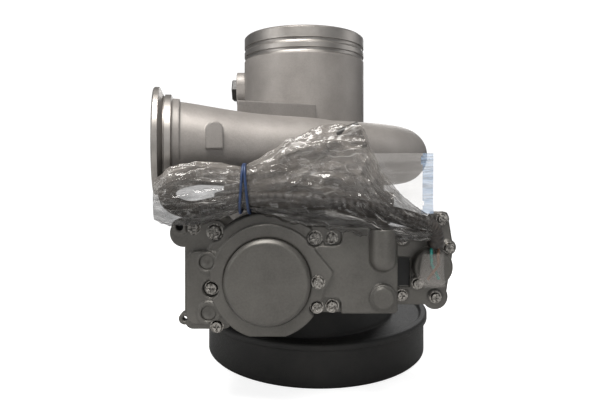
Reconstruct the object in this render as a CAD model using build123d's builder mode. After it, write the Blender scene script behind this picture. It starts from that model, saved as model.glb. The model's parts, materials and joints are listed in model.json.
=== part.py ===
"""Variable-geometry turbocharger with its motor-driven vane actuator, in millimetres.

The origin is on the shaft axis, at the exhaust outlet face that the unit stands on. +Z runs up the
shaft to the air intake, -Y faces the actuator, and +X is on the right of someone facing it.
"""

from build123d import *
from math import acos, atan2, cos, degrees, hypot, pi, radians, sin, sqrt, tan
import os

os.makedirs("parts", exist_ok=True)

# ---------------------------------------------------------------- driving dimensions
RUN_FIT = 0.05  # radial running clearance
GAP = 0.3  # clearance between pieces that only pass each other

# Heights up the shaft axis
DRUM_TOP = 26.0
RIM_TOP = 31.0
JOINT_Z = 56.0  # turbine housing meets bearing housing
BEARING_TOP = 110.0
COVER_LOW = 116.0
DIFFUSER_Z = 126.0
INTAKE_TOP = 256.9

# Turbine housing
DRUM_R = 90.0
DRUM_X = 9.9  # the volute's outer wall is this far off the shaft axis
OUTLET_R = 38.0
STUD_PCD_R = 47.0

# Compressor
HOSE_R = 50.8
INTAKE_BORE_R = 45.2
SCROLL_INNER = 58.0
SCROLL_FLOOR = 135.4
SCROLL_SWEEP = 312.0
SCROLL_WALL = 4.0
OUTLET_TURN = 13.0  # the air outlet leaves this many degrees forward of -X
TUBE_LENGTH = 118.0
OUTLET_RISE = 8.1  # the outlet tube climbs this much on its way to the flange
FLANGE_OUT = 76.0
COVER_BOLT_R = 70.0
WHEEL_R = 46.0
INDUCER_R = 34.0

# Shaft and bearings
SHAFT_R = 5.0
BUSH_R = 9.0

# Vane gear: the motor, the idler and the vane shaft, as (x, z) of axes along Y
MOTOR = (-22.6, 83.4)
VANE_SHAFT = (28.0, 80.0)
FINE, COARSE = 0.8, 1.0  # gear modules
MOTOR_TEETH, WHEEL_TEETH, PINION_TEETH, SECTOR_TEETH = 12, 43, 12, 46
ARM = 28.0
ARM_ANGLE = 8.0
ROD_R = 3.0
ROD_Y = 44.0

# Actuator, as y levels from the back wall to the front
ACT_BACK, ACT_SPLIT, ACT_FLANGE, ACT_RAISED, ACT_RING = -92.0, -122.0, -127.0, -130.6, -132.4
ACT_CAP = -137.0
CAP_R = 25.4


def write(builder, name):
    """Labels a finished piece and writes its file."""
    builder.part.label = name
    export_step(builder.part, f"parts/{name}.step")


def turned(points, mode=Mode.ADD, centre=0.0):
    """Adds or cuts the solid that (radius, height) points sweep round a vertical axis."""
    with BuildSketch(Plane.XZ) as profile:
        with BuildLine():
            Polyline([(centre + r, z) for r, z in points], close=True)
        make_face()
    revolve(profile.sketch, Axis((centre, 0, 0), (0, 0, 1)), mode=mode)


def front(y):
    """The plane at that y that faces -Y, with X to the right and Z up."""
    return Plane.XZ.offset(-y)


def bar(y_back, y_front, spots, radius, mode=Mode.ADD):
    """Adds or cuts round bars along Y at (x, z) spots."""
    with BuildSketch(front(y_back)) as ends:
        with Locations(*spots):
            Circle(radius)
    extrude(ends.sketch, amount=y_back - y_front, mode=mode)


def post(z_low, z_high, spots, radius, mode=Mode.ADD):
    """Adds or cuts round posts along Z at (x, y) spots."""
    with BuildSketch(Plane.XY.offset(z_low)) as ends:
        with Locations(*spots):
            Circle(radius)
    extrude(ends.sketch, amount=z_high - z_low, mode=mode)


def block(low, high, mode=Mode.ADD):
    """Adds or cuts a box between two corners."""
    size = [b - a for a, b in zip(low, high)]
    with Locations(tuple((a + b) / 2 for a, b in zip(low, high))):
        Box(*size, mode=mode)


def ring_spots(radius, count, first=0.0):
    """(x, y) spots evenly round the shaft axis."""
    turns = [radians(first + 360 * i / count) for i in range(count)]
    return [(radius * cos(t), radius * sin(t)) for t in turns]


# ---------------------------------------------------------------- compressor housing
def scroll_radius(share):
    """The air passage's outer radius, by share of the sweep from its tongue."""
    return 14.0 + 9.2 * sqrt(share)


def scroll_stations():
    """(centre, direction, radius) of sections along the scroll and down the outlet tube."""
    steps = 13
    stations = []
    for i in range(steps):
        share = i / (steps - 1)
        turn = radians(SCROLL_SWEEP * (1 - share) - 90 + OUTLET_TURN)
        r = scroll_radius(share)
        reach = SCROLL_INNER + r
        centre = Vector(reach * cos(turn), reach * sin(turn), SCROLL_FLOOR + r)
        stations.append((centre, Vector(sin(turn), -cos(turn), 0), r))
    leave, along, r = stations[-1]
    for part_way in (0.33, 0.66, 0.95):
        rise = OUTLET_RISE * part_way**1.4
        place = leave + along * TUBE_LENGTH * part_way + Vector(0, 0, rise)
        stations.append((place, along, r + 3.6 * part_way))
    return stations


STATIONS = scroll_stations()
TUBE_START, TUBE_WAY, _ = STATIONS[12]
FLANGE_FACE = TUBE_START + TUBE_WAY * TUBE_LENGTH + Vector(0, 0, OUTLET_RISE)
FLANGE_R = 34.4


def tube_run(stations, shrink, mode):
    """Lofts circles through stations, each one smaller by shrink."""
    sections = []
    for centre, way, r in stations:
        outward = Vector(0, 0, 1).cross(way) * -1
        with BuildSketch(Plane(origin=centre, x_dir=outward, z_dir=way)) as section:
            Circle(r - shrink)
        sections += section.sketch.faces()
    loft(sections, mode=mode)


def scroll(shrink, run_on, mode=Mode.ADD):
    """Adds or cuts the scroll, then its outlet tube, which runs on past its last station."""
    last_centre, last_way, last_r = STATIONS[-1]
    tube_run(STATIONS[:13], shrink, mode)
    tube_run(STATIONS[12:] + [(last_centre + last_way * run_on, last_way, last_r)], shrink, mode)


def shroud_curve(clearance, steps=10):
    """(radius, height) down the compressor wheel's shroud line, a quarter of an ellipse."""
    points = []
    for i in range(steps + 1):
        t = radians(90 * i / steps)
        r = WHEEL_R - (WHEEL_R - INDUCER_R) * cos(t)
        points.append((r + clearance, 165.8 - 33.4 * sin(t) + clearance))
    return points


GROOVES = (238.2, 245.8)  # heights of the two hose grooves
with BuildPart() as compressor_housing:
    spigot = [(30, COVER_LOW), (FLANGE_OUT, COVER_LOW), (FLANGE_OUT, 126)]
    spigot += [(68, 128), (68, 146), (HOSE_R, 164)]
    for height in GROOVES:
        spigot += [(HOSE_R, height - 1.8), (HOSE_R - 0.9, height - 0.9)]
        spigot += [(HOSE_R - 1.2, height + 0.3), (HOSE_R - 1.2, height + 1.9), (HOSE_R, height + 2.0)]
    spigot += [(HOSE_R, INTAKE_TOP - 1.3), (HOSE_R - 1.2, INTAKE_TOP), (30, INTAKE_TOP)]
    turned(spigot)
    scroll(0, 4)
    # Plate pad between the scroll and the intake, its front face swept back to the right
    with BuildSketch(Plane.XY.offset(150)):
        with BuildLine():
            Polyline([(-46, -88), (8, -63), (8, -40), (-30, -20), (-46, -36)], close=True)
        make_face()
    extrude(amount=45)
    # Side pad for the intake's pipe plug
    with BuildSketch(Plane.YZ.offset(-56.8)):
        with Locations((0, 214)):
            SlotOverall(30, 23, rotation=90)
    extrude(amount=16)
    # Arched pad on the outlet tube
    pad_foot = TUBE_START + TUBE_WAY * 81.4
    outward = Vector(0, 0, 1).cross(TUBE_WAY)
    with BuildSketch(Plane(origin=(pad_foot.X, pad_foot.Y, 161.4), x_dir=-TUBE_WAY, z_dir=outward)):
        Rectangle(10.4, 11.4, align=(Align.CENTER, Align.MIN))
        with Locations((0, 11.4)):
            Circle(5.2)
    extrude(amount=27.4)
    # Clamp flange and collar on the outlet tube
    lip_plane = Plane(origin=FLANGE_FACE, x_dir=-TUBE_WAY, z_dir=(-TUBE_WAY).cross(Vector(0, 0, 1)))
    with BuildSketch(lip_plane):
        with BuildLine():
            lip = [(0, 20), (0, FLANGE_R - 0.8), (0.8, FLANGE_R), (3.6, FLANGE_R), (6.3, 28.6), (6.7, 28.6)]
            lip += [(7.1, 29.8), (10.8, 29.8), (11.6, 27.4), (16, 27.2), (16, 20)]
            Polyline(lip, close=True)
        make_face()
    revolve(axis=Axis(FLANGE_FACE, TUBE_WAY))
    # Hollows: scroll, diffuser channel, wheel shroud and intake bore
    scroll(SCROLL_WALL, 14, mode=Mode.SUBTRACT)
    hollow = [(0, 100), (64, 100), (64, DIFFUSER_Z), (62, DIFFUSER_Z), (62, 146), (54.5, 146)]
    hollow += [(54.5, 131.4), (49.5, 131.4)] + shroud_curve(0.5)[::-1]
    hollow += [(36.5, 176), (40, 190), (INTAKE_BORE_R, 214), (INTAKE_BORE_R, INTAKE_TOP - 1)]
    hollow += [(INTAKE_BORE_R + 1, INTAKE_TOP), (INTAKE_BORE_R + 1, 262), (0, 262)]
    turned(hollow, Mode.SUBTRACT)
    with BuildSketch(Plane.YZ.offset(-60)):
        with Locations((0, 214)):
            Circle(6)
    extrude(amount=30, mode=Mode.SUBTRACT)
    post(COVER_LOW, COVER_LOW + 8, ring_spots(COVER_BOLT_R, 8, 22.5), 2.5, Mode.SUBTRACT)
write(compressor_housing, "compressor_housing")

with BuildPart() as inlet_port_plug:
    with BuildSketch(Plane.YZ.offset(-56.8)):
        with Locations((0, 213.5)):
            RegularPolygon(8.5, 6, major_radius=False)
    extrude(amount=-4.3)
    with BuildSketch(Plane.YZ.offset(-56.8)):
        with Locations((0, 214)):
            Circle(5.95)
    extrude(amount=9)
    chamfer(inlet_port_plug.edges().filter_by(Plane.YZ).sort_by(Axis.X)[:6], 0.8)
write(inlet_port_plug, "inlet_port_plug")

# ---------------------------------------------------------------- compressor back plate
PLATE_SCREW_R = 36.0
with BuildPart() as back_plate:
    plate = [(10, BEARING_TOP), (FLANGE_OUT, BEARING_TOP), (FLANGE_OUT, COVER_LOW), (63.9, COVER_LOW)]
    plate += [(63.9, 119), (61.3, 119), (61.3, 122), (63.9, 122), (63.9, DIFFUSER_Z), (10, DIFFUSER_Z)]
    turned(plate)
    post(BEARING_TOP, COVER_LOW, ring_spots(COVER_BOLT_R, 8, 22.5), 2.75, Mode.SUBTRACT)
    post(BEARING_TOP, DIFFUSER_Z, ring_spots(PLATE_SCREW_R, 6, 30), 2.7, Mode.SUBTRACT)
    post(120.5, DIFFUSER_Z, ring_spots(PLATE_SCREW_R, 6, 30), 4.8, Mode.SUBTRACT)
    turned([(0, 109), (24, 109), (24, 113), (0, 113)], Mode.SUBTRACT)
write(back_plate, "compressor_back_plate")

with BuildPart() as plate_screws:
    for x, y in ring_spots(PLATE_SCREW_R, 6, 30):
        post(101, 120.5, [(x, y)], 2.45)
        post(120.5, 125.2, [(x, y)], 4.2)
        with BuildSketch(Plane.XY.offset(122.4)):
            with Locations((x, y)):
                RegularPolygon(2, 6, major_radius=False)
        extrude(amount=4, mode=Mode.SUBTRACT)
write(plate_screws, "back_plate_screws")

with BuildPart() as o_ring:
    turned([(61.35, 119.2), (63.9, 119.2), (63.9, 121.8), (61.35, 121.8)])
    fillet(o_ring.edges(), 0.6)
write(o_ring, "compressor_o_ring")

with BuildPart() as clamp_plates:
    for first in (22.5, 112.5, 202.5, 292.5):
        with BuildSketch(Plane.XY.offset(BEARING_TOP - 3)):
            with BuildLine():
                half = 31
                CenterArc((0, 0), 74.5, first + 22.5 - half, 2 * half)
                CenterArc((0, 0), 65.5, first + 22.5 - half, 2 * half)
                for end in (-half, half):
                    turn = radians(first + 22.5 + end)
                    Line((65.5 * cos(turn), 65.5 * sin(turn)), (74.5 * cos(turn), 74.5 * sin(turn)))
            make_face()
        extrude(amount=3)
    post(BEARING_TOP - 3, BEARING_TOP, ring_spots(COVER_BOLT_R, 8, 22.5), 2.7, Mode.SUBTRACT)
write(clamp_plates, "compressor_clamp_plates")

with BuildPart() as clamp_bolts:
    for x, y in ring_spots(COVER_BOLT_R, 8, 22.5):
        post(BEARING_TOP - 3, 123.5, [(x, y)], 2.45)
        with BuildSketch(Plane.XY.offset(BEARING_TOP - 6.8)):
            with Locations((x, y)):
                RegularPolygon(4, 6, major_radius=False)
        extrude(amount=3.8)
write(clamp_bolts, "compressor_clamp_bolts")


# ---------------------------------------------------------------- rotor
def blade(stations, thickness):
    """Lofts one blade through (height, inner radius, outer radius, turn) sections."""
    sections = []
    for z, inner, outer, turn in stations:
        with BuildSketch(Plane.XY.offset(z).rotated((0, 0, turn))) as section:
            with Locations(((inner + outer) / 2, 0)):
                Rectangle(outer - inner, thickness)
        sections += section.sketch.faces()
    loft(sections, ruled=True)


def wheel_blades(count, first, heights, hub, tip, twist, thickness):
    """Blades round a wheel, each one leaning further round the higher it goes."""
    low, high = heights
    for i in range(count):
        stations = []
        for step in range(6):
            share = step / 5
            z = low + (high - low) * share
            turn = first + 360 * i / count + twist * share
            stations.append((z, hub(z), tip(z), turn))
        blade(stations, thickness)


def compressor_hub(z):
    """Radius just inside the compressor wheel's hub at a height."""
    rise = min(max((z - 128) / 42, 0), 1)
    return 8.5 + 34 * (1 - sqrt(1 - (1 - rise) ** 2)) - 0.6


def compressor_tip(z):
    """Radius of the compressor blades' outer edge at a height."""
    rise = min(max((z - 132.4) / 33.4, 0), 1)
    return WHEEL_R - (WHEEL_R - INDUCER_R) * sqrt(1 - (1 - rise) ** 2)


with BuildPart() as compressor_wheel:
    hub = [(SHAFT_R - 1, 126.7), (WHEEL_R - 0.2, 126.7), (WHEEL_R - 0.2, 128)]
    hub += [(compressor_hub(128 + 42 * i / 8) + 0.6, 128 + 42 * i / 8) for i in range(1, 9)]
    hub += [(8.5, 171), (SHAFT_R - 1, 171)]
    turned(hub)
    wheel_blades(6, 0, (127.6, 164.5), compressor_hub, compressor_tip, 50, 1.2)
    wheel_blades(6, 30, (127.6, 153), compressor_hub, compressor_tip, 34, 1.1)
write(compressor_wheel, "compressor_wheel")

with BuildPart() as compressor_nut:
    with BuildSketch(Plane.XY.offset(171)):
        RegularPolygon(7, 6, major_radius=False)
        Circle(4, mode=Mode.SUBTRACT)
    extrude(amount=7)
write(compressor_nut, "compressor_nut")


def exducer(z):
    """Radius of the turbine blades' outer edge at a height."""
    rise = min(max((z - 20) / 15, 0), 1)
    return 31 + 4.6 * rise**2


def turbine_hub(z):
    """Radius just inside the turbine wheel's hub at a height."""
    rise = min(max((z - 18) / 28, 0), 1)
    return 8.5 + 25 * rise**2.6 - 0.5


with BuildPart() as shaft_and_wheel:
    hub = [(0, 10), (5, 10), (7, 12), (8.5, 18)]
    hub += [(turbine_hub(18 + 28 * i / 7) + 0.5, 18 + 28 * i / 7) for i in range(1, 8)]
    hub += [(34, 47.3), (9, 47.8), (7.2, 49.5), (7.2, 58), (SHAFT_R, 58), (SHAFT_R, 126.7)]
    hub += [(4, 126.7), (4, 182.2), (3.2, 183), (0, 183)]
    turned(hub)
    wheel_blades(11, 0, (18.5, 46.8), turbine_hub, exducer, -38, 1.3)
write(shaft_and_wheel, "shaft_and_turbine_wheel")

with BuildPart() as thrust_collar:
    turned([(SHAFT_R, 102.4), (8.6, 102.4), (8.6, 104.8), (SHAFT_R, 104.8)])
    turned([(SHAFT_R, 102.4), (6.9, 102.4), (6.9, 126.7), (SHAFT_R, 126.7)])
    turned([(SHAFT_R, 109.3), (9.7, 109.3), (9.7, 126.7), (SHAFT_R, 126.7)])
    turned([(9.2, 116), (9.8, 116), (9.8, 117.5), (9.2, 117.5)], Mode.SUBTRACT)
write(thrust_collar, "thrust_collar_and_sleeve")

with BuildPart() as thrust_bearing:
    turned([(7.2, 105), (20, 105), (20, 109), (7.2, 109)])
    block((0, -7.2, 105), (21, 7.2, 109), Mode.SUBTRACT)
write(thrust_bearing, "thrust_bearing")

with BuildPart() as seal_rings:
    turned([(9.2, 116.1), (9.95, 116.1), (9.95, 117.4), (9.2, 117.4)])
    turned([(7.25, 53.2), (7.95, 53.2), (7.95, 54.5), (7.25, 54.5)])
write(seal_rings, "shaft_seal_rings")

with BuildPart() as bushes:
    for low in (66, 90):
        high, inner, outer = low + 10, SHAFT_R + RUN_FIT, BUSH_R - 0.03
        turned([(inner, low), (outer, low), (outer, high), (inner, high)])
        with Locations(*[Pos(0, 0, low + 5) * Rot(0, 0, 60 * i) * Rot(0, 90, 0) for i in range(3)]):
            Cylinder(1, 30, mode=Mode.SUBTRACT)
write(bushes, "journal_bushes")

# ---------------------------------------------------------------- bearing housing
CHAMBER_R, BODY_R = 50.0, 56.0
with BuildPart() as bearing_housing:
    body = [(0, 50.5), (52.4, 50.5), (52.4, JOINT_Z), (66, JOINT_Z), (66, 57.5), (62, 60.5)]
    body += [(62, 61.5), (BODY_R, 62), (BODY_R, 97), (44, 103), (44, BEARING_TOP), (0, BEARING_TOP)]
    turned(body)
    # Neck and pad that carry the actuator
    block((8, -86, 68), (48, -44, 102.5))
    block((-45, ACT_BACK, 63), (52, -84, 108))
    fillet(bearing_housing.edges().filter_by(Axis.Y).filter_by_position(Axis.X, -46, -44), 6)
    # Oil feed boss on the left, oil drain boss at the back
    with BuildSketch(Plane.YZ.offset(-64)):
        with Locations((0, 88)):
            Circle(10)
    extrude(amount=12)
    bar(66, 40, [(-24, 78)], 13)
    with BuildSketch(front(66)):
        with Locations((-24, 78)):
            SlotOverall(52, 18)
    extrude(amount=8)
    # Chamber round the bearing core, crossed by the oil feed and drain
    turned([(19, 66), (CHAMBER_R, 66), (CHAMBER_R, 94), (19, 94)], Mode.SUBTRACT)
    with BuildSketch(Plane.YZ.offset(-54)):
        with Locations((0, 88)):
            Circle(7)
    extrude(amount=38)
    with BuildSketch(Plane.YZ.offset(-64)):
        with Locations((0, 88)):
            Circle(4)
    extrude(amount=55, mode=Mode.SUBTRACT)
    bar(67, 40, [(-24, 78)], 8.5, Mode.SUBTRACT)
    bar(67, 54, [(-43.5, 78), (-4.5, 78)], 2.5, Mode.SUBTRACT)
    # Shaft bore, thrust recess, cross shaft and push rod bores, tapped holes
    core = [(0, 50), (8, 50), (8, 62), (BUSH_R, 62), (BUSH_R, 105), (20, 105), (20, 111), (0, 111)]
    turned(core, Mode.SUBTRACT)
    bar(45, -93, [VANE_SHAFT], 5.05, Mode.SUBTRACT)
    bar(-48, -93, [VANE_SHAFT], 8, Mode.SUBTRACT)
    post(50, 67, [(0, ROD_Y), (0, -ROD_Y)], ROD_R + RUN_FIT, Mode.SUBTRACT)
    post(100, 111, ring_spots(PLATE_SCREW_R, 6, 30), 2.5, Mode.SUBTRACT)
    bar(-84, -92, [(-38, 70), (-38, 101), (2, 101), (2, 70)], 2.5, Mode.SUBTRACT)
write(bearing_housing, "bearing_housing")

with BuildPart() as heat_shield:
    turned([(8.2, 49.5), (36.3, 49.5), (36.3, 50.5), (8.2, 50.5)])
write(heat_shield, "heat_shield")

# ---------------------------------------------------------------- turbine housing
PORTS = [(52 - 15, 31), (52 + 15, 31)]
with BuildPart() as turbine_housing:
    drum = [(0, 0), (DRUM_R - 1, 0), (DRUM_R, 1), (DRUM_R, DRUM_TOP), (DRUM_R + 2.5, DRUM_TOP + 0.6)]
    drum += [(DRUM_R + 2.5, RIM_TOP - 1), (DRUM_R + 1.5, RIM_TOP), (88, RIM_TOP), (86, 28.5), (0, 28.5)]
    turned(drum, centre=DRUM_X)
    shoulder = [(0, 20), (76, 20), (74, 31), (68.5, 45), (62, 48), (62, 51.5), (66, 54.5)]
    turned(shoulder + [(66, JOINT_Z), (0, JOINT_Z)])
    # Duct up to the inlet flange
    with BuildSketch(front(60)) as root:
        with Locations((50, 15)):
            RectangleRounded(72, 26, 6)
    with BuildSketch(front(101)) as mouth:
        with Locations((52, 31)):
            RectangleRounded(74, 46, 8)
    loft([root.sketch.faces()[0], mouth.sketch.faces()[0]])
    with BuildSketch(front(112)):
        with Locations((52, 31)):
            RectangleRounded(96, 58, 8)
    extrude(amount=12)
    # Stud holes, and room behind the flange for the nuts
    studs = [(52 + x, 31 + z) for x in (-38, 38) for z in (-21, 21)]
    bar(113, 99, studs, 4.5, Mode.SUBTRACT)
    bar(100, 93, studs, 7.5, Mode.SUBTRACT)
    for x, z in PORTS:
        with BuildSketch(front(113)) as outer_end:
            with Locations((x, z)):
                RectangleRounded(22, 30, 5)
        with BuildSketch(front(62)) as inner_end:
            with Locations((x, 16)):
                RectangleRounded(22, 17, 4)
        loft([outer_end.sketch.faces()[0], inner_end.sketch.faces()[0]], mode=Mode.SUBTRACT)
    # Scroll, the ring passage above it, vane space, wheel bore and outlet
    with BuildSketch(Plane.XY.offset(6)):
        with Locations((DRUM_X, 0)):
            Circle(83)
        Circle(61, mode=Mode.SUBTRACT)
    extrude(amount=19, mode=Mode.SUBTRACT)
    turned([(53, 20), (62, 20), (62, 37), (64, 47), (53, 47)], Mode.SUBTRACT)
    bore = [(0, -1), (OUTLET_R, -1), (OUTLET_R, 12), (31.8, 18), (31.8, 22), (37, 34), (37, 35)]
    bore += [(39.5, 35), (39.5, 26.5), (51, 26.5), (51, 35), (53, 35), (53, 50.4), (52.5, 50.4)]
    bore += [(52.5, 60), (0, 60)]
    turned(bore, Mode.SUBTRACT)
    post(-1, 14, ring_spots(STUD_PCD_R, 6, 30), 3.4, Mode.SUBTRACT)
write(turbine_housing, "turbine_housing")

# ---------------------------------------------------------------- sliding nozzle ring
VANES = 14
RING_TOP = 50.0

with BuildPart() as shroud_plate:
    turned([(37.2, 35), (52.9, 35), (52.9, 37), (37.2, 37)])
    with BuildSketch(Plane.XY.offset(35)):
        for i in range(VANES):
            with Locations(Rot(0, 0, 360 * (i + 0.5) / VANES) * Pos(45, 0) * Rot(0, 0, 65)):
                SlotOverall(11 + 2 * GAP, 2.2 + 2 * GAP)
    extrude(amount=2, mode=Mode.SUBTRACT)
write(shroud_plate, "shroud_plate")

with BuildPart() as nozzle_ring:
    turned([(37.5, RING_TOP - 3), (50, RING_TOP - 3), (50, RING_TOP), (37.5, RING_TOP)])
    with BuildSketch(Plane.XY.offset(35.5)):
        for i in range(VANES):
            with Locations(Rot(0, 0, 360 * (i + 0.5) / VANES) * Pos(45, 0) * Rot(0, 0, 65)):
                SlotOverall(11, 2.2)
    extrude(amount=12)
    post(RING_TOP - 2.5, RING_TOP, [(0, ROD_Y), (0, -ROD_Y)], ROD_R, Mode.SUBTRACT)
write(nozzle_ring, "nozzle_ring")

FINGER_Z = VANE_SHAFT[1] + ARM * sin(radians(ARM_ANGLE))
FINGER_X = VANE_SHAFT[0] - ARM * cos(radians(ARM_ANGLE))
with BuildPart() as push_rods:
    for y in (-ROD_Y, ROD_Y):
        post(RING_TOP - 2.5, FINGER_Z - 5, [(0, y)], ROD_R)
        block((-6.5, y - 3.6, FINGER_Z - 7), (5, y + 3.6, FINGER_Z + 7))
    slot_r = ROD_R + RUN_FIT
    block((-3.4, -48, FINGER_Z - slot_r), (6, 48, FINGER_Z + slot_r), Mode.SUBTRACT)
write(push_rods, "nozzle_push_rods")

# ---------------------------------------------------------------- vane shaft and yoke
with BuildPart() as vane_shaft:
    bar(44.5, -108.8, [VANE_SHAFT], SHAFT_R)
write(vane_shaft, "vane_shaft")

with BuildPart() as yoke:
    bar(34, -34, [VANE_SHAFT], 7.6)
    for y in (34, -29):
        with BuildSketch(front(y)):
            with Locations(((VANE_SHAFT[0] + FINGER_X) / 2, (VANE_SHAFT[1] + FINGER_Z) / 2)):
                SlotOverall(ARM + 11, 10, rotation=180 - ARM_ANGLE)
        extrude(amount=5)
    bar(46.5, 30, [(FINGER_X, FINGER_Z)], ROD_R)
    bar(-30, -46.5, [(FINGER_X, FINGER_Z)], ROD_R)
    bar(35, -35, [VANE_SHAFT], SHAFT_R, Mode.SUBTRACT)
write(yoke, "yoke")

with BuildPart() as shaft_seal:
    with BuildSketch(front(-86)):
        with Locations(VANE_SHAFT):
            Circle(7.95)
            Circle(SHAFT_R + 0.02, mode=Mode.SUBTRACT)
    extrude(amount=5)
write(shaft_seal, "vane_shaft_seal")


# ---------------------------------------------------------------- gears
def involute(angle):
    """The involute function of an angle in radians."""
    return tan(angle) - angle


def tooth(module, teeth, angle):
    """(x, z) points round one tooth whose centre line is at that angle, in radians."""
    pitch_r = module * teeth / 2
    base_r = pitch_r * cos(radians(25))
    radii = [pitch_r - 1.2 * module, base_r, (base_r + pitch_r) / 2, pitch_r, pitch_r + 0.9 * module]
    half = pi / (2 * teeth) - 0.05 / pitch_r + involute(radians(25))
    flank = []
    for r in sorted(radii):
        lean = involute(acos(min(base_r / r, 1)))
        flank.append((r, half - lean))
    low = [(r * cos(angle - turn), r * sin(angle - turn)) for r, turn in flank]
    high = [(r * cos(angle + turn), r * sin(angle + turn)) for r, turn in reversed(flank)]
    return low + high


def gear(centre, module, teeth, gap_way, y_back, y_front, span=None):
    """Adds a gear with a tooth gap at gap_way degrees; span limits it to (low, high) teeth from there."""
    low, high = span if span else (0, teeth)
    points = []
    for i in range(low, high):
        points += tooth(module, teeth, radians(gap_way + 360 * (i + 0.5) / teeth))
    if span:
        points.append((0, 0))
    with BuildSketch(front(y_back)) as outline:
        with BuildLine():
            Polyline([(centre[0] + x, centre[1] + z) for x, z in points], close=True)
        make_face()
    extrude(outline.sketch, amount=y_back - y_front)


def heading(start, end):
    """The direction from one (x, z) axis to another, in degrees."""
    return degrees(atan2(end[1] - start[1], end[0] - start[0]))


# The idler sits where both gear pairs reach their centre distances
FIRST_REACH = FINE * (MOTOR_TEETH + WHEEL_TEETH) / 2
SECOND_REACH = COARSE * (PINION_TEETH + SECTOR_TEETH) / 2
SPAN = hypot(VANE_SHAFT[0] - MOTOR[0], VANE_SHAFT[1] - MOTOR[1])
ALONG = (FIRST_REACH**2 - SECOND_REACH**2 + SPAN**2) / (2 * SPAN)
LIFT = degrees(acos(ALONG / FIRST_REACH))
IDLER_WAY = radians(heading(MOTOR, VANE_SHAFT) + LIFT)
IDLER = (MOTOR[0] + FIRST_REACH * cos(IDLER_WAY), MOTOR[1] + FIRST_REACH * sin(IDLER_WAY))
FINE_BACK, FINE_FRONT = -103.3, -108.0
COARSE_BACK, COARSE_FRONT = -97.0, -102.6

with BuildPart() as sector_gear:
    gear(VANE_SHAFT, COARSE, SECTOR_TEETH, heading(VANE_SHAFT, IDLER), COARSE_BACK, COARSE_FRONT, (-4, 2))
    bar(COARSE_BACK, COARSE_FRONT - 1, [VANE_SHAFT], 8.5)
    bar(COARSE_BACK, COARSE_FRONT - 1, [VANE_SHAFT], SHAFT_R, Mode.SUBTRACT)
write(sector_gear, "output_sector_gear")

with BuildPart() as idler_gear:
    gear(IDLER, FINE, WHEEL_TEETH, heading(IDLER, MOTOR), FINE_BACK, FINE_FRONT)
    bar(FINE_BACK, COARSE_FRONT + 0.3, [IDLER], 4.6)
    shift = 180 / PINION_TEETH
    gear(IDLER, COARSE, PINION_TEETH, heading(IDLER, VANE_SHAFT) + shift, COARSE_BACK, COARSE_FRONT)
    bar(COARSE_BACK, FINE_FRONT, [IDLER], 2 + RUN_FIT, Mode.SUBTRACT)
write(idler_gear, "idler_gear")

with BuildPart() as idler_axle:
    bar(-93.5, -109.6, [IDLER], 2)
    bar(-108.2, -109.2, [IDLER], 3.2)
write(idler_axle, "idler_axle")

with BuildPart() as motor_rotor:
    bar(FINE_BACK, -133.5, [MOTOR], 2.5)
    bar(-114, -129, [MOTOR], 11)
    shift = 180 / MOTOR_TEETH
    gear(MOTOR, FINE, MOTOR_TEETH, heading(MOTOR, IDLER) + shift, FINE_BACK, FINE_FRONT - 2)
write(motor_rotor, "motor_rotor")

# ---------------------------------------------------------------- motor
with BuildPart() as motor_case:
    bar(-111, -134.2, [MOTOR], 22.5)
    bar(-112.2, -133, [MOTOR], 21.2, Mode.SUBTRACT)
    bar(-110, -135, [MOTOR], 5.5, Mode.SUBTRACT)
write(motor_case, "motor_case")

with BuildPart() as motor_stator:
    bar(-113.5, -129.5, [MOTOR], 21.2)
    bar(-113.5, -129.5, [MOTOR], 11.4, Mode.SUBTRACT)
    with BuildSketch(front(-113.5)):
        with Locations(MOTOR):
            with PolarLocations(15.6, 6):
                SlotOverall(7, 3.2)
    extrude(amount=16, mode=Mode.SUBTRACT)
write(motor_stator, "motor_stator")

with BuildPart() as motor_bearings:
    for y in (-111, -131.2):
        bar(y, y - 2.6, [MOTOR], 5.5)
        bar(y, y - 2.6, [MOTOR], 2.5 + RUN_FIT, Mode.SUBTRACT)
write(motor_bearings, "motor_bearings")

# ---------------------------------------------------------------- actuator case
TALL_R = 40.8  # the case swells to this radius over the motor
LOW_R = 33.6
RING_R = 33.7
CASE_FOOT = 51.4  # the case is cut flat under the motor

# Cover screws as (x, z, head radius, level the head sits on)
COVER_SCREWS = [
    (-66.7, 114.2, 3.4, ACT_FLANGE),
    (-54.1, 111.9, 4.3, ACT_FLANGE),
    (-55.9, 78.6, 3.7, ACT_FLANGE),
    (-52.9, 55.9, 3.4, ACT_FLANGE),
    (5.5, 108.3, 3.8, ACT_FLANGE),
    (15.4, 108.3, 3.2, ACT_FLANGE),
    (7.2, 83.4, 3.4, ACT_RING),
    (6.6, 67.4, 3.4, ACT_FLANGE),
    (15.7, 67.9, 3.4, ACT_FLANGE),
]
CORE_PLUGS = [(-58.3, 94.6, 6.3), (-57.2, 64.6, 7.1)]


def case_outline(y, inset=0.0):
    """The actuator case's outline on the plane at y."""
    with BuildSketch(front(y)) as outline:
        with Locations(MOTOR):
            Circle(TALL_R)
        with Locations((MOTOR[0], 130)):
            Rectangle(120, 62, mode=Mode.INTERSECT)
        with Locations(MOTOR):
            Circle(LOW_R)
        with Locations((-9, 89.5)):
            RectangleRounded(126, 51, 3)
        with Locations((-58, 76)):
            RectangleRounded(28, 44, 5)
        with Locations((-64, 111)):
            SlotOverall(34, 16.4)
        with Locations((0, CASE_FOOT - 20)):
            Rectangle(300, 40, mode=Mode.SUBTRACT)
        if inset:
            offset(amount=-inset)
    return outline.sketch


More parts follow.
